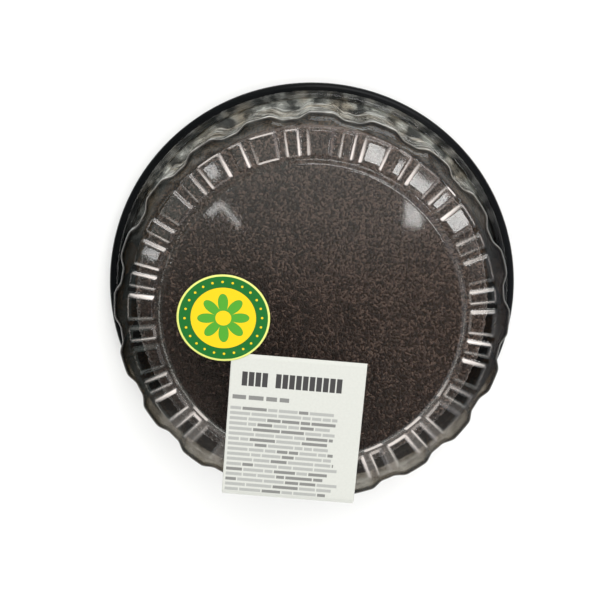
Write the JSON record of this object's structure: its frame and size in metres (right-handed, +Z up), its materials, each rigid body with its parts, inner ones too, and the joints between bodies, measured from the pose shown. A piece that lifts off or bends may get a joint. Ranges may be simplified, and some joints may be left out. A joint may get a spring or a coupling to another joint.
{
  "type": "packed round chocolate cake",
  "caption": "Round chocolate cake covered with fine chocolate sprinkles, shut in a black tray with a clear fluted lid that bears a round sticker and a paper label.",
  "frame": {"origin": "middle of the tray's foot, on the surface that the pack stands on", "axes": "+Z up; the label's top edge towards +Y, its bottom edge over the lid's shoulder at -Y; the sticker at -X"},
  "size_m": [0.268, 0.268, 0.0921],
  "materials": {
    "tray_plastic": "glossy thin vacuum-formed sheet",
    "chocolate": "rough, covered with fine dark brown sprinkles",
    "clear_plastic": "clear, glossy, thin vacuum-formed sheet",
    "sticker_film": "satin printed film, yellow and green",
    "label_paper": "matt white paper with fine dark lines"
  },
  "bodies": {
    "root": {"black_tray": "tray_plastic", "cake": "chocolate", "clear_lid": "clear_plastic", "round_sticker": "sticker_film", "paper_label": "label_paper"}
  },
  "joints": []
}
